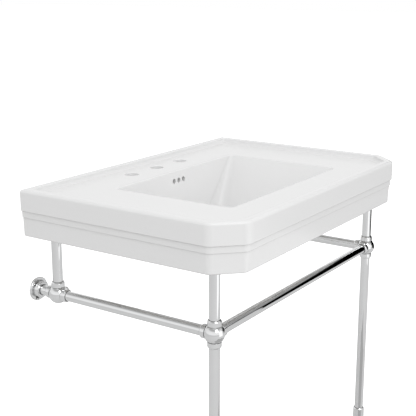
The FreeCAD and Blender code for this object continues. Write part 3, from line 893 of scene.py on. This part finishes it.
def boss_tool(sizes):
    """Solids under the deck: the post sockets' bosses and the overflow duct's walls."""
    bm = bmesh.new()
    roof_z = basin_high.z - sizes.rim_height - sizes.deck_thickness / 2
    socket_rods(bm, basin_high.z - sizes.apron + sizes.foot_round, roof_z,
                TUBE_RADIUS + sizes.socket_gap + sizes.socket_wall)
    half = sizes.duct_width / 2 + sizes.duct_wall
    outline = [Vector((-half, y, z)) for y, z in duct_profile(sizes, sizes.duct_wall)]
    prism_into(bm, outline, RIGHT * 2 * half)
    return bm


def hollow_tool(sizes):
    """What is cut from the basin: post sockets, wall bolt holes and the overflow duct."""
    bm = bmesh.new()
    socket_rods(bm, basin_high.z - sizes.apron, basin_high.z - sizes.socket_drop,
                TUBE_RADIUS + sizes.socket_gap)
    for place in bolt_places():
        rod_into(bm, place + TO_WALL * sizes.back_wall / 2, FROM_WALL * 2 * sizes.back_wall,
                 sizes.bolt_hole / 2)

    half = sizes.duct_width / 2
    profile = duct_profile(sizes, 0)
    near = ring(bm, [(-half, y, z) for y, z in profile])
    far = ring(bm, [(half, y, z) for y, z in profile])
    bm.faces.new(near)
    bm.faces.new(far)
    for i in range(1, len(profile)):
        j = (i + 1) % len(profile)
        bm.faces.new([near[i], near[j], far[j], far[i]])
    overflow_z = basin_high.z - sizes.rim_height - sizes.overflow_drop
    mouths = []
    for place in (-1, 0, 1):
        centre = Vector((place * sizes.overflow_spacing, profile[0][0], overflow_z))
        start, end = [ring(bm, circle(centre + FROM_WALL * run, FROM_WALL,
                                      sizes.overflow_hole / 2, segments=40))
                      for run in (0, 2 * sizes.duct_gap)]
        bridge(bm, start, end)
        bm.faces.new(end)
        mouths.append(start)
    fill_flat(bm, [near[0], near[1], far[1], far[0]], mouths, FROM_WALL)
    return bm


def make_basin():
    """Rim, apron, deck, bowl and holes as one surface, with the bosses and hollows worked in."""
    sizes = settings().basin
    deck_z = basin_high.z - sizes.rim_height
    deck_under_z = deck_z - sizes.deck_thickness
    bowl_under_z = deck_z - sizes.bowl_depth - sizes.bowl_wall
    bm = bmesh.new()
    shell = inside_rings(bm, sizes) + outside_rings(bm, sizes)
    bridge_all(bm, shell)
    bowl = bowl_rings(bm, sizes)
    bridge_all(bm, bowl)
    tap_y = basin_high.y - sizes.tap_from_wall
    taps = [tap_rings(bm, sizes, place * sizes.tap_spacing, tap_y) for place in (-1, 0, 1)]
    fill_flat(bm, shell[0], [bowl[0]] + [rings[0] for rings in taps], UP)

    waste = waste_rings(bm, sizes)
    fill_flat(bm, bowl[-1], [waste[0]], UP)

    block = []
    block_top = (deck_z + deck_under_z) / 2
    for z in (deck_under_z, bowl_under_z):
        part_way = (block_top - z) / (block_top - bowl_under_z)
        outline = [place for place, _ in bowl_outline(sizes, part_way, sizes.bowl_wall)]
        block.append(ring_at(bm, outline, z))
    bridge_all(bm, block)
    fill_flat(bm, shell[-1], [block[0]] + [rings[-1] for rings in taps], DOWN)
    fill_flat(bm, block[-1], [waste[-1]], DOWN)
    solid = combined(mesh_from(bm, "basin"), boss_tool(sizes), "UNION")
    show(combined(solid, hollow_tool(sizes), "DIFFERENCE"), "basin", sharp_degrees=40)


# ---- wall flanges, their screws and the blanking plugs
def screw_places(side):
    """Centres of a flange's screws on the wall, mirrored from one flange to the other."""
    pattern = next(mount["dims"] for mount in frame["record"]["mounts"]
                   if mount["name"] == "flange_screws_" + side)
    radius = pattern["pcd_mm"] / 2000
    start, _, _ = lie("wall_flange_" + side, FROM_WALL)
    outwards = -1 if side == "left" else 1
    turns = [settings().flanges.first_screw + 2 * math.pi * i / pattern["count"]
             for i in range(pattern["count"])]
    return [start + Vector((-outwards * math.cos(turn), 0, math.sin(turn))) * radius
            for turn in turns]


def make_wall_flange(side):
    """Plate with screw holes and a hub, closed behind the stub, with its set screw's hole."""
    sizes = settings().flanges
    tubes = settings().tubes
    node = "wall_flange_" + side
    start, run, radius = lie(node, FROM_WALL)
    bore = TUBE_RADIUS + tubes.collar_gap
    hub = bore + sizes.hub_wall
    past_round = 1.1
    bm = bmesh.new()
    rim = turn_into(bm, [
        (radius, 0, 0),
        (radius, sizes.plate, sizes.plate_round),
        (radius - past_round * sizes.plate_round, sizes.plate, 0),
    ], start, FROM_WALL, tubes.segments, closed=False)
    hub_rings = turn_into(bm, [
        (hub + past_round * sizes.hub_cove, sizes.plate, 0),
        (hub, sizes.plate, sizes.hub_cove),
        (hub, run, sizes.hub_round),
        (bore, run, tubes.edge),
        (bore, sizes.floor, 0),
        (0, sizes.floor, 0),
    ], start, FROM_WALL, tubes.segments, closed=False)
    back_holes = []
    front_holes = []
    for place in screw_places(side):
        back, front = [ring(bm, circle(place + FROM_WALL * level, FROM_WALL, sizes.hole / 2,
                                       segments=32))
                       for level in (0, sizes.plate)]
        bridge(bm, back, front)
        back_holes.append(back)
        front_holes.append(front)
    fill_flat(bm, rim[0], back_holes, TO_WALL)
    fill_flat(bm, rim[-1], [hub_rings[0]] + front_holes, FROM_WALL)
    tool = bmesh.new()
    middle = start + FROM_WALL * (sizes.plate + run) / 2
    rod_into(tool, middle + DOWN * TUBE_RADIUS, DOWN * radius, sizes.set_screw / 2)
    show(combined(mesh_from(bm, node), tool, "DIFFERENCE"), node)


def cross_outline(centre, way, width, arm, turn):
    """Twelve corners of an upright cross in the plane across an axis."""
    side = (Matrix.Rotation(turn, 3, way) @ way.orthogonal()).normalized()
    other = way.cross(side)
    quarter = [(width / 2, -arm / 2), (width / 2, arm / 2), (arm / 2, arm / 2)]
    places = []
    for corner in range(4):
        spin = Matrix.Rotation(math.pi / 2 * corner, 2)
        for point in quarter:
            u, v = spin @ Vector(point)
            places.append(centre + side * u + other * v)
    return places


def make_flange_screws(side):
    """Pan head screws with a cross recess, down to the wall's face."""
    sizes = settings().flanges
    node = "flange_screws_" + side
    first_turn = 25
    turn_between = 40
    width_share = 0.6
    arm_share = 0.7
    bm = bmesh.new()
    for i, place in enumerate(screw_places(side)):
        seat = place + FROM_WALL * sizes.plate
        rings = turn_into(bm, [
            (0, -sizes.plate, 0),
            (sizes.neck / 2, -sizes.plate, 0),
            (sizes.neck / 2, 0, 0),
            (sizes.head / 2, 0, sizes.head_round / 5),
            (sizes.head / 2, sizes.head_height, sizes.head_round),
            (sizes.head / 2 - sizes.head_round, sizes.head_height, 0),
        ], seat, FROM_WALL, segments=40, closed=False)
        top = seat + FROM_WALL * sizes.head_height
        bottom = top + TO_WALL * sizes.cross_depth
        turn = math.radians(first_turn + turn_between * i)
        mouth = ring(bm, cross_outline(top, FROM_WALL, sizes.cross, sizes.cross_arm, turn))
        foot = ring(bm, cross_outline(bottom, FROM_WALL, sizes.cross * width_share,
                                      sizes.cross_arm * arm_share, turn))
        fill_flat(bm, rings[-1], [mouth], FROM_WALL)
        bridge(bm, mouth, foot)
        bm.faces.new(foot)
    show(bm, node)


def make_blanking_plug(side):
    """Domed plug on a threaded stud, in the spare port of a rear ball."""
    sizes = settings().flanges
    stud = settings().tubes.stud_bore
    node = "blanking_plug_" + side
    way = RIGHT if side == "left" else LEFT
    _, run, radius = lie(node, way)
    show_turned(node, way, [
        (0, 0, 0),
        (stud, 0, 0),
        (stud, run - sizes.blank_height, 0),
        (radius, run - sizes.blank_height, sizes.blank_round / 8),
        (radius, run, sizes.blank_round),
        (0, run, 0),
    ], steps=6)


# ---- wall bolts
def bolt_places():
    """Centres of the basin's two wall bolts, on the wall."""
    low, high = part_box("wall_bolts")
    radius = settings().fixings.anchor / 2
    z = (low.z + high.z) / 2
    return [Vector((x, basin_high.y, z)) for x in (low.x + radius, high.x - radius)]


def thread_into(bm, start, way, run, radius, pitch, tip=0.0):
    """Closed rod with a helical thread; a tip narrows its far end to a point."""
    segments = 24
    rows_per_turn = 8
    point_share = 0.06
    metric_depth = 0.61
    anchor_depth = 0.2
    depth = radius * anchor_depth if tip else pitch * metric_depth
    side = way.orthogonal().normalized()
    other = way.cross(side)
    rows = round(run / pitch * rows_per_turn)
    rings = []
    for row in range(rows + 1):
        along = run * row / rows
        narrow = min(1.0, (run - along) / tip + point_share) if tip else 1.0
        ends = min(1.0, min(along, run - along) / pitch)
        places = []
        for i in range(segments):
            phase = (along / pitch - i / segments) % 1
            ridge = max(0.0, 1 - abs(4 * phase - 2)) if tip else 1 - abs(2 * phase - 1)
            reach = (radius - depth * (1 - ridge * ends)) * narrow
            turn = 2 * math.pi * i / segments
            spot = side * math.cos(turn) + other * math.sin(turn)
            places.append(start + way * along + spot * reach)
        rings.append(ring(bm, places))
    bridge_all(bm, rings)
    bm.faces.new(rings[0])
    bm.faces.new(rings[-1])


def make_wall_bolts():
    """Hanger bolts: a machine thread for the nut, and an anchor thread that is in the wall."""
    sizes = settings().fixings
    low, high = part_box("wall_bolts")
    bm = bmesh.new()
    for place in bolt_places():
        thread_into(bm, place, FROM_WALL, place.y - low.y, sizes.machine / 2, sizes.machine_pitch)
        thread_into(bm, place, TO_WALL, high.y - place.y, sizes.anchor / 2, sizes.anchor_pitch,
                    sizes.anchor_tip)
    show(bm, "wall_bolts", sharp_degrees=50)


def turn_at_bolts(node, corners):
    """A turned ring on each wall bolt, its heights counted from its face to the wall."""
    face_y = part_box(node)[1].y
    bm = bmesh.new()
    for place in bolt_places():
        start = Vector((place.x, face_y, place.z))
        turn_into(bm, corners, start, FROM_WALL, segments=48, steps=2)
    show(bm, node)


def make_wall_bushes():
    sizes = settings().fixings
    low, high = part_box("wall_bolt_bushes")
    run = high.y - low.y
    flange = (high.z - low.z) / 2
    bore = sizes.machine / 2 + sizes.gap
    body = settings().basin.bolt_hole / 2 - sizes.gap
    soft = sizes.edge
    turn_at_bolts("wall_bolt_bushes", [
        (bore, 0, 0),
        (body, 0, soft),
        (body, run - sizes.bush_flange, 0),
        (flange, run - sizes.bush_flange, soft),
        (flange, run, 1.5 * soft),
        (bore, run, 0.75 * soft),
    ])


def make_wall_washers():
    sizes = settings().fixings
    low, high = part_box("wall_bolt_washers")
    radius = (high.z - low.z) / 2
    bore = sizes.machine / 2 + sizes.gap
    run = high.y - low.y
    soft = sizes.edge
    turn_at_bolts("wall_bolt_washers", [
        (bore, 0, 0.5 * soft),
        (radius, 0, 0.75 * soft),
        (radius, run, 1.25 * soft),
        (bore, run, 0.5 * soft),
    ])


def make_wall_nuts():
    """Hexagon nuts whose corners are chamfered on both faces."""
    sizes = settings().fixings
    low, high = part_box("wall_bolt_nuts")
    run = high.y - low.y
    half_flats = sizes.nut_flats / 2
    face_share = 0.985
    face = half_flats * face_share
    slope = (sizes.nut_flats / math.sqrt(3) - half_flats) / sizes.nut_chamfer
    bore = sizes.machine / 2
    mouth_share = 1.06
    mouth = bore * mouth_share
    mouth_depth = 0.0005
    chamfer_steps = [0, 0.35, 0.7, 1.0]
    levels = [sizes.nut_chamfer * step for step in chamfer_steps]
    levels += [run - sizes.nut_chamfer * step for step in reversed(chamfer_steps)]
    segments = 72
    turns = [2 * math.pi * i / segments for i in range(segments)]
    section = []
    for level in levels:
        cone = face + slope * min(level, run - level)
        flats = [half_flats / math.cos(turn % (math.pi / 3) - math.pi / 6) for turn in turns]
        section.append((level, [min(flat, cone) for flat in flats]))
    for level, radius in ((run, mouth), (run - mouth_depth, bore), (mouth_depth, bore), (0, mouth)):
        section.append((level, [radius] * segments))
    bm = bmesh.new()
    for place in bolt_places():
        rings = [ring(bm, [(place.x + reach * math.cos(turn), high.y - level,
                            place.z + reach * math.sin(turn))
                           for reach, turn in zip(reaches, turns)])
                 for level, reaches in section]
        bridge_all(bm, rings, closed=True)
    show(bm, "wall_bolt_nuts")


# ---- feet
def make_foot_pad(side):
    """Rubber disc with a groove round it and a pin that holds it in the foot's base."""
    sizes = settings().feet
    node = "foot_pad_" + side
    _, run, radius = lie(node, UP)
    pin = sizes.pad_pin / 2
    groove_z = sizes.pad_height / 2
    show_turned(node, UP, [
        (0, 0, 0),
        (radius, 0, sizes.pad_round),
        (radius, groove_z - sizes.pad_groove, 0),
        (radius - sizes.pad_groove, groove_z, 0),
        (radius, groove_z + sizes.pad_groove, 0),
        (radius, sizes.pad_height, sizes.pad_round),
        (pin, sizes.pad_height, 0),
        (pin, run, settings().tubes.softness),
        (0, run, 0),
    ])


def make_foot_base(side):
    """Disc with a hole for the pad's pin, and a boss with a seat for the levelling stud."""
    sizes = settings().feet
    tubes = settings().tubes
    node = "foot_base_" + side
    start, run, radius = lie(node, UP)
    fit = tubes.collar_gap / 2
    boss = TUBE_RADIUS + sizes.running_gap - fit
    pin_hole = sizes.pad_pin / 2 + fit
    stud_hole = sizes.stud / 2 + fit
    show_turned(node, UP, [
        (0, sizes.pin_hole_roof - start.z, 0),
        (pin_hole, sizes.pin_hole_roof - start.z, 0),
        (pin_hole, 0, 0),
        (radius, 0, tubes.softness),
        (radius, sizes.plate, sizes.plate_round),
        (boss, sizes.plate, 0),
        (boss, run, tubes.softness),
        (stud_hole, run, 0),
        (stud_hole, sizes.stud_seat - start.z, 0),
        (0, sizes.stud_seat - start.z, 0),
    ])


# ---- studio
# Cards that only the polish mirrors: two opposite corners, and brightness.
CARDS = {
    "black_card": ((0.8, -0.98, 0.45), (0.8, -0.13, 0.95), 0.0),
    "dark_card": ((0.8, -0.98, 0.95), (0.8, -0.13, 1.01), 0.07),
    "grey_card": ((0.8, -0.98, 1.01), (0.8, -0.13, 1.51), 0.3),
    "edge_card": ((0.8, -1.28, 0.86), (0.8, -0.98, 1.06), 0.02),
    # painted shadow: a grey sheet on the floor, seen only in the polish, stands in for the basin's
    # shadow there
    "floor_shadow_card": ((-0.56, -1.0, 0.002), (0.30, -0.30, 0.002), 0.40),
    "white_card": ((-0.5, -1.4, 0.2), (0.5, -1.4, 1.2), 1.1),
}
# Tone of the room that the polish mirrors, by height (-1 is down, 1 is up) and by azimuth.
ROOM_BY_HEIGHT = (
    (-1, 0.40), (-0.84, 0.46), (-0.67, 0.54), (-0.39, 0.60), (-0.25, 0.65), (-0.07, 0.68),
    (0.08, 0.86), (0.25, 0.88), (0.53, 0.81), (0.62, 0.60), (0.74, 0.42), (0.90, 0.45),
    (0.96, 1.0), (1, 1.0))
ROOM_BY_SIDE = (
    (-math.pi, 1.0), (-1.05, 1.0), (-0.90, 0.75), (0, 0.75), (0.35, 1.0), (1.2, 1.0),
    (1.7, 0.86), (2.4, 0.97), (math.pi, 1.0))
EVEN_LIGHT = 1.0                         # light on the object from the room
LIGHT_SLOPE = (-0.04, -0.06, -0.12)      # its change to the right, to the wall and up
FLOOR_ACROSS = (-1.2, 0.4)               # metres in x between which the floor's tone changes
FLOOR_TONES = (0.60, 0.98)
FLOOR_FLECK = (0.98, 0.98, 0.98)
FLOOR_IN_POLISH = (0.63, 0.63, 0.63)


def aim(item, place, way):
    """Stand a camera or a lamp at a place, looking one way."""
    item.location = place
    item.rotation_mode = "QUATERNION"
    item.rotation_quaternion = way.to_track_quat("-Z", "Y")


def make_camera(studio):
    data = bpy.data.cameras.new("camera")
    data.lens = studio.lens
    data.shift_x = studio.shift_x
    data.shift_y = studio.shift_y
    camera = placed("camera", data)
    azimuth, elevation = studio.camera_azimuth, studio.camera_elevation
    back = Vector((math.sin(azimuth) * math.cos(elevation),
                   -math.cos(azimuth) * math.cos(elevation), math.sin(elevation)))
    aim(camera, studio.camera_place, -back)
    bpy.context.scene.camera = camera


def make_sheet(name, corners, material):
    """Flat sheet of the studio."""
    bm = bmesh.new()
    bm.faces.new(ring(bm, corners))
    mesh = bpy.data.meshes.new(name)
    bm.to_mesh(mesh)
    bm.free()
    mesh.materials.append(material)
    sheet = placed(name, mesh)
    return sheet


def floor_material(studio):
    """Pale floor that goes to white for the camera and still takes the shadow."""
    material, tree, shader = new_material("studio_floor")
    tree.nodes.remove(shader)
    path = add_node(tree, "ShaderNodeLightPath").outputs
    place = add_node(tree, "ShaderNodeTexCoord").outputs["Object"]
    across = add_node(tree, "ShaderNodeSeparateXYZ", {0: place}).outputs["X"]
    toned = ranged(tree, across, *FLOOR_ACROSS, *FLOOR_TONES)
    fleck = mixed(tree, object_noise(tree, scale=3.0), FLOOR_FLECK, (1, 1, 1))
    grain = mixed(tree, 1.0, fleck, toned, "MULTIPLY")
    paint = mixed(tree, path["Is Glossy Ray"], grain, FLOOR_IN_POLISH)
    matt = add_node(tree, "ShaderNodeBsdfDiffuse", {"Color": paint}).outputs[0]
    strength = maths(tree, "MULTIPLY", path["Is Camera Ray"], studio.floor_glow)
    glow = add_node(tree, "ShaderNodeEmission", {"Strength": strength}).outputs[0]
    both = add_node(tree, "ShaderNodeAddShader", {0: matt, 1: glow}).outputs[0]
    feed(tree, tree.nodes["Material Output"], {"Surface": both})
    return material


def make_floor(studio):
    half = studio.floor_size / 2
    corners = [(-half, -half, 0), (half, -half, 0), (half, half, 0), (-half, half, 0)]
    make_sheet("floor", corners, floor_material(studio))


def make_card(name, low, high, tone):
    """Card between two corners, upright or flat, seen only in what is polished."""
    material, tree, shader = new_material(name)
    tree.nodes.remove(shader)
    glow = add_node(tree, "ShaderNodeEmission", {"Strength": tone}).outputs[0]
    feed(tree, tree.nodes["Material Output"], {"Surface": glow})
    (x, y, z), (far_x, far_y, top) = low, high
    second, fourth = (far_x, far_y, z), (x, y, top)
    if z == top:
        second, fourth = (far_x, y, z), (x, far_y, z)
    card = make_sheet(name, [low, second, high, fourth], material)
    card.visible_camera = False
    card.visible_diffuse = False
    card.visible_transmission = False
    card.visible_shadow = False


def tone_ramp(tree, value, stops):
    """Grey by a value: stops are (value, tone)."""
    low, high = stops[0][0], stops[-1][0]
    node = add_node(tree, "ShaderNodeValToRGB", {0: ranged(tree, value, low, high)})
    elements = node.color_ramp.elements
    while len(elements) > 1:
        elements.remove(elements[-1])
    for i, (stop, tone) in enumerate(stops):
        element = elements.new((stop - low) / (high - low)) if i else elements[0]
        element.color = (tone, tone, tone, 1)
    return node.outputs[0]


def make_world():
    """White to the camera, soft even light on the object, and a toned room for the polish."""
    world = bpy.data.worlds.new("studio")
    bpy.context.scene.world = world
    world.use_nodes = True
    tree = world.node_tree
    tree.nodes.clear()
    way = add_node(tree, "ShaderNodeTexCoord").outputs["Generated"]
    parts = add_node(tree, "ShaderNodeSeparateXYZ", {0: way}).outputs
    azimuth = maths(tree, "ARCTAN2", parts["Y"], parts["X"])
    room = mixed(tree, 1.0, tone_ramp(tree, parts["Z"], ROOM_BY_HEIGHT),
                 tone_ramp(tree, azimuth, ROOM_BY_SIDE), "MULTIPLY")
    slope = add_node(tree, "ShaderNodeVectorMath", {0: way, 1: LIGHT_SLOPE},
                     operation="DOT_PRODUCT").outputs["Value"]
    even = maths(tree, "ADD", slope, EVEN_LIGHT)

    path = add_node(tree, "ShaderNodeLightPath").outputs
    clear = maths(tree, "MAXIMUM", path["Is Camera Ray"], path["Is Transmission Ray"])
    lit = mixed(tree, path["Is Glossy Ray"], even, room)
    shown = mixed(tree, clear, lit, (1, 1, 1))
    background = add_node(tree, "ShaderNodeBackground", {"Color": shown}).outputs[0]
    add_node(tree, "ShaderNodeOutputWorld", {"Surface": background})


def make_key_light(studio):
    """One large soft light in front of the basin, high up and to the left."""
    data = bpy.data.lights.new("key_light", "AREA")
    data.shape = "SQUARE"
    data.size = studio.key_size
    data.energy = studio.key_power
    aim(placed("key_light", data), studio.key_place, studio.key_aim - studio.key_place)


# ---- operators
class MakeTubes(bpy.types.Operator):
    """Build the posts, legs, rails and wall stubs"""
    bl_idname = "console_basin.tubes"
    bl_label = "Tubes"

    def execute(self, context):
        for node, way in tube_ways().items():
            make_tube(node, way)
        return {"FINISHED"}


class MakeCollars(bpy.types.Operator):
    """Build the collars where the tubes enter the balls"""
    bl_idname = "console_basin.collars"
    bl_label = "Collars"

    def execute(self, context):
        bore = TUBE_RADIUS + settings().tubes.collar_gap
        for row, side in BALLS:
            for port, way in ball_ports(row, side).items():
                if port != "spare":
                    make_sleeve(f"collar_{row}_{side}_{port}", way, bore)
        return {"FINISHED"}


class MakeBalls(bpy.types.Operator):
    """Build the four ball joints"""
    bl_idname = "console_basin.balls"
    bl_label = "Balls"

    def execute(self, context):
        for row, side in BALLS:
            make_ball(row, side)
        return {"FINISHED"}


class FinishNodes(bpy.types.Operator):
    """Give the pieces that keep their frame mesh their finish"""
    bl_idname = "console_basin.finish_nodes"
    bl_label = "Inner pieces"

    def execute(self, context):
        for node, piece in frame["nodes"].items():
            piece.data.materials.clear()
            piece.data.materials.append(finish_for(SLOT_OF_NODE[node]))
        return {"FINISHED"}


class MakeBasin(bpy.types.Operator):
    """Build the ceramic basin"""
    bl_idname = "console_basin.basin"
    bl_label = "Basin"

    def execute(self, context):
        make_basin()
        return {"FINISHED"}


class MakeFlanges(bpy.types.Operator):
    """Build the wall flanges, their screws and the blanking plugs"""
    bl_idname = "console_basin.flanges"
    bl_label = "Wall flanges"

    def execute(self, context):
        for side in SIDES:
            make_wall_flange(side)
            make_flange_screws(side)
            make_blanking_plug(side)
        return {"FINISHED"}


class MakeWallBolts(bpy.types.Operator):
    """Build the basin's wall bolts, bushes, washers and nuts"""
    bl_idname = "console_basin.wall_bolts"
    bl_label = "Wall bolts"

    def execute(self, context):
        make_wall_bolts()
        make_wall_bushes()
        make_wall_washers()
        make_wall_nuts()
        return {"FINISHED"}


class MakeFeet(bpy.types.Operator):
    """Build the pads, bases and sleeves of the feet"""
    bl_idname = "console_basin.feet"
    bl_label = "Feet"

    def execute(self, context):
        bore = TUBE_RADIUS + settings().feet.running_gap
        for side in SIDES:
            make_foot_pad(side)
            make_foot_base(side)
            make_sleeve("foot_sleeve_" + side, UP, bore)
        return {"FINISHED"}


class MakeStudio(bpy.types.Operator):
    """Set up the camera, floor and light"""
    bl_idname = "console_basin.studio"
    bl_label = "Studio"

    def execute(self, context):
        studio = settings().studio
        make_camera(studio)
        make_floor(studio)
        for name, (low, high, tone) in CARDS.items():
            make_card(name, low, high, tone)
        make_world()
        make_key_light(studio)
        context.scene.view_settings.view_transform = "Standard"
        return {"FINISHED"}


PIECES = (FinishNodes, MakeBasin, MakeTubes, MakeCollars, MakeBalls, MakeFlanges, MakeWallBolts,
          MakeFeet, MakeStudio)


class ConsoleBasinPanel(bpy.types.Panel):
    """Lists what can be built"""
    bl_idname = "VIEW3D_PT_console_basin"
    bl_label = "Console Basin"
    bl_space_type = "VIEW_3D"
    bl_region_type = "UI"
    bl_category = "Console Basin"

    def draw(self, context):
        for piece in PIECES:
            self.layout.operator(piece.bl_idname)


CLASSES = (FinishSettings, BasinSizes, TubeSettings, FlangeSizes, FixingSizes, FootSizes,
           StudioSettings, BasinSettings, *PIECES, ConsoleBasinPanel)


def register():
    for cls in CLASSES:
        bpy.utils.register_class(cls)
    bpy.types.Scene.console_basin = PointerProperty(type=BasinSettings)


def unregister():
    del bpy.types.Scene.console_basin
    for cls in reversed(CLASSES):
        bpy.utils.unregister_class(cls)


def main():
    register()
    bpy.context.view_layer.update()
    bpy.ops.console_basin.studio()
    bpy.ops.console_basin.finish_nodes()
    bpy.ops.console_basin.basin()
    bpy.ops.console_basin.tubes()
    bpy.ops.console_basin.collars()
    bpy.ops.console_basin.balls()
    bpy.ops.console_basin.flanges()
    bpy.ops.console_basin.wall_bolts()
    bpy.ops.console_basin.feet()


if __name__ == "__main__":
    main()
